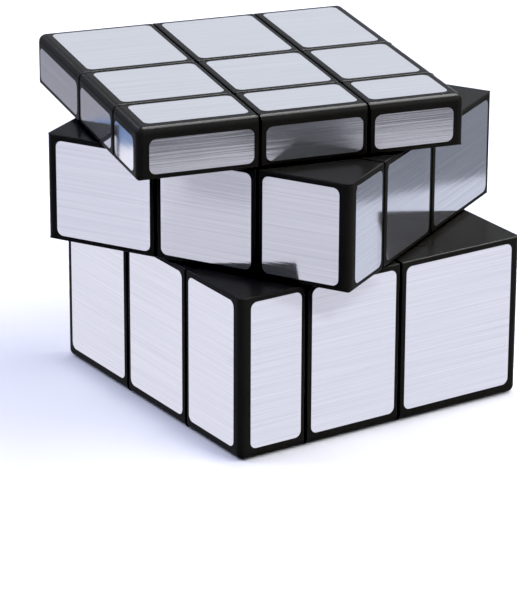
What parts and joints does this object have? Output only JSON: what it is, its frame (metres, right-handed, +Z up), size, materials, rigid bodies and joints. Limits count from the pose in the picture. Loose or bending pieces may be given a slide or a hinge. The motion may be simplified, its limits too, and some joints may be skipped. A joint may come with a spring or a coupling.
{
  "type": "mirror block cube",
  "caption": "Twisting puzzle cube of square-cut blocks in different thicknesses with silver mirror faces, shown with its layers turned; its layers turn about a sprung core.",
  "frame": {"origin": "on the cube's vertical turning axis, at the flat underside of the lower layer, where the cube stands", "axes": "+Z up along the vertical turning axis, +X towards the lower layer's right face, +Y towards its back face"},
  "size_m": [0.0768, 0.0771, 0.057],
  "materials": {
    "shell_plastic": "glossy black moulded ABS",
    "hub_plastic": "satin black moulded ABS",
    "core_plastic": "satin natural nylon",
    "screw_steel": "bright zinc plated steel",
    "washer_steel": "stamped zinc plated steel",
    "spring_steel": "drawn spring wire",
    "foil_silver": "brushed silver foil film"
  },
  "bodies": {
    "lower_layer": {"lower_front_left_corner": "shell_plastic", "lower_front_edge": "shell_plastic", "lower_front_right_corner": "shell_plastic", "lower_left_edge": "shell_plastic", "lower_right_edge": "shell_plastic", "lower_back_left_corner": "shell_plastic", "lower_back_edge": "shell_plastic", "lower_back_right_corner": "shell_plastic", "lower_centre_hub": "hub_plastic", "lower_centre_cap": "shell_plastic"},
    "middle_layer": {"core_spider": "core_plastic", "front_left_edge": "shell_plastic", "front_right_edge": "shell_plastic", "back_left_edge": "shell_plastic", "back_right_edge": "shell_plastic", "left_centre_hub": "hub_plastic", "left_centre_cap": "shell_plastic", "right_centre_hub": "hub_plastic", "right_centre_cap": "shell_plastic", "front_centre_hub": "hub_plastic", "front_centre_cap": "shell_plastic", "back_centre_hub": "hub_plastic", "back_centre_cap": "shell_plastic", "left_tension_screw": "screw_steel", "left_spring_washer": "washer_steel", "left_tension_spring": "spring_steel", "right_tension_screw": "screw_steel", "right_spring_washer": "washer_steel", "right_tension_spring": "spring_steel", "front_tension_screw": "screw_steel", "front_spring_washer": "washer_steel", "front_tension_spring": "spring_steel", "back_tension_screw": "screw_steel", "back_spring_washer": "washer_steel", "back_tension_spring": "spring_steel", "lower_tension_screw": "screw_steel", "lower_spring_washer": "washer_steel", "lower_tension_spring": "spring_steel", "upper_tension_screw": "screw_steel", "upper_spring_washer": "washer_steel", "upper_tension_spring": "spring_steel"},
    "upper_layer": {"upper_front_left_corner": "shell_plastic", "upper_front_edge": "shell_plastic", "upper_front_right_corner": "shell_plastic", "upper_left_edge": "shell_plastic", "upper_right_edge": "shell_plastic", "upper_back_left_corner": "shell_plastic", "upper_back_edge": "shell_plastic", "upper_back_right_corner": "shell_plastic", "upper_centre_hub": "hub_plastic", "upper_centre_cap": "shell_plastic"}
  },
  "joints": [
    {"name": "middle_layer_turn", "type": "hinge", "parent": "lower_layer", "child": "middle_layer", "pos_m": [0, 0, 0.0385], "axis": [0, 0, 1], "continuous": true},
    {"name": "upper_layer_turn", "type": "hinge", "parent": "middle_layer", "child": "upper_layer", "pos_m": [0, 0, 0.0385], "axis": [0, 0, 1], "continuous": true}
  ]
}
